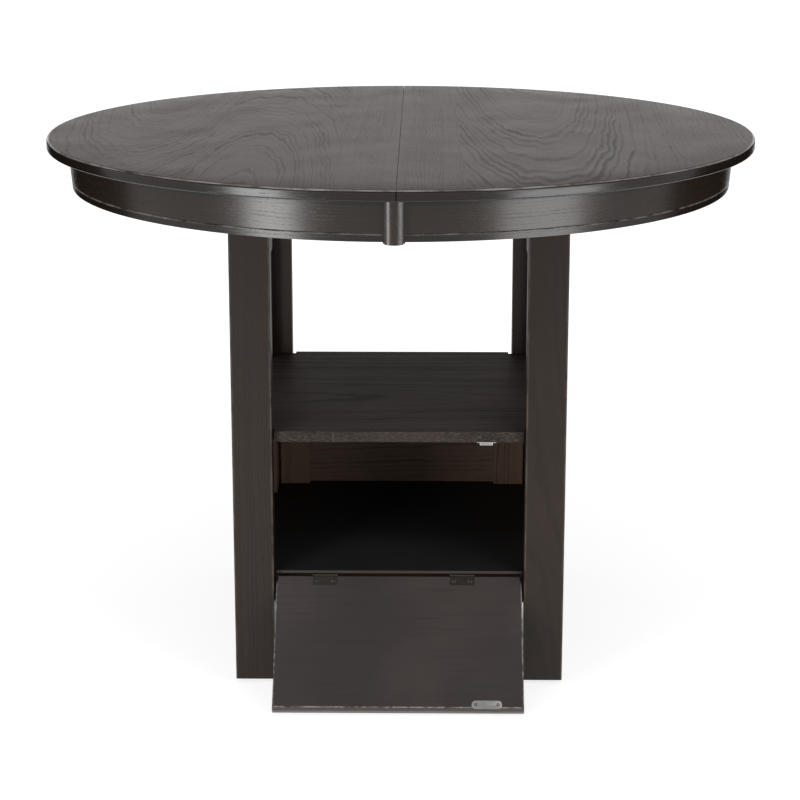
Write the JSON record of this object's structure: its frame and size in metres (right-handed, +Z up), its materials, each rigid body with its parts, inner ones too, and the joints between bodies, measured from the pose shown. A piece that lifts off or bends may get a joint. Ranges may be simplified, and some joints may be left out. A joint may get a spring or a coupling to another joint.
{
  "type": "extending kitchen table with storage cabinet",
  "caption": "Round counter-height kitchen table whose split top slides apart on runners, on a square base with an open shelf and a cabinet with a drop front.",
  "frame": {"origin": "on the floor, under the middle of the closed top", "axes": "+X to the right along the way the top opens, +Y to the back, +Z up"},
  "size_m": [1.2196, 1.2192, 0.9144],
  "materials": {
    "stained_top": "near-black stain, satin lacquer",
    "stained_ring": "near-black stain, gloss lacquer",
    "stained_frame": "near-black stain, satin",
    "stained_shelf": "open-grain dark stain, satin",
    "stained_door": "smooth, satin",
    "black_board": "black, matte",
    "brown_wood": "brown stain",
    "pale_wood": "waxed bare wood",
    "dark_metal": "satin",
    "bright_steel": "plated",
    "dark_plastic": "matte"
  },
  "bodies": {
    "base": {"front_left_leg": "stained_frame", "front_left_corner_block": "brown_wood", "front_left_foot_block": "brown_wood", "front_left_glide": "dark_plastic", "front_right_leg": "stained_frame", "front_right_corner_block": "brown_wood", "front_right_foot_block": "brown_wood", "front_right_glide": "dark_plastic", "rear_left_leg": "stained_frame", "rear_left_corner_block": "brown_wood", "rear_left_foot_block": "brown_wood", "rear_left_glide": "dark_plastic", "rear_right_leg": "stained_frame", "rear_right_corner_block": "brown_wood", "rear_right_foot_block": "brown_wood", "rear_right_glide": "dark_plastic", "front_top_rail": "brown_wood", "rear_top_rail": "brown_wood", "left_top_rail": "brown_wood", "right_top_rail": "brown_wood", "front_slide_rail": "pale_wood", "rear_slide_rail": "pale_wood", "shelf": "stained_shelf", "cabinet_floor": "black_board", "front_floor_rail": "brown_wood", "rear_floor_rail": "brown_wood", "back_panel": "brown_wood", "left_side_panel": "stained_frame", "right_side_panel": "stained_frame", "left_back_cleat": "brown_wood", "right_back_cleat": "brown_wood", "left_front_side_cleat": "brown_wood", "left_rear_side_cleat": "brown_wood", "right_front_side_cleat": "brown_wood", "right_rear_side_cleat": "brown_wood", "left_cabinet_leaf": "dark_metal", "right_cabinet_leaf": "dark_metal", "left_hinge_pin": "dark_metal", "right_hinge_pin": "dark_metal", "magnet_catch": "dark_plastic"},
    "left_half": {"left_top": "stained_top", "left_apron": "stained_ring", "front_moulding": "stained_ring", "rear_moulding": "stained_ring", "left_front_runner": "pale_wood", "left_rear_runner": "pale_wood", "alignment_pegs": "pale_wood"},
    "right_half": {"right_top": "stained_top", "right_apron": "stained_ring", "right_front_runner": "pale_wood", "right_rear_runner": "pale_wood"},
    "drop_front": {"door_panel": "stained_door", "left_door_leaf": "dark_metal", "right_door_leaf": "dark_metal", "strike_plate": "bright_steel"}
  },
  "joints": [
    {"name": "left_half_slide", "type": "slide", "parent": "base", "child": "left_half", "axis": [-1, 0, 0], "range_m": [0, 0.2286]},
    {"name": "right_half_slide", "type": "slide", "parent": "base", "child": "right_half", "axis": [1, 0, 0], "range_m": [0, 0.2286]},
    {"name": "drop_front_hinge", "type": "hinge", "parent": "base", "child": "drop_front", "pos_m": [0, -0.2618, 0.19], "axis": [-1, 0, 0], "range_deg": [0, 140.21]}
  ]
}
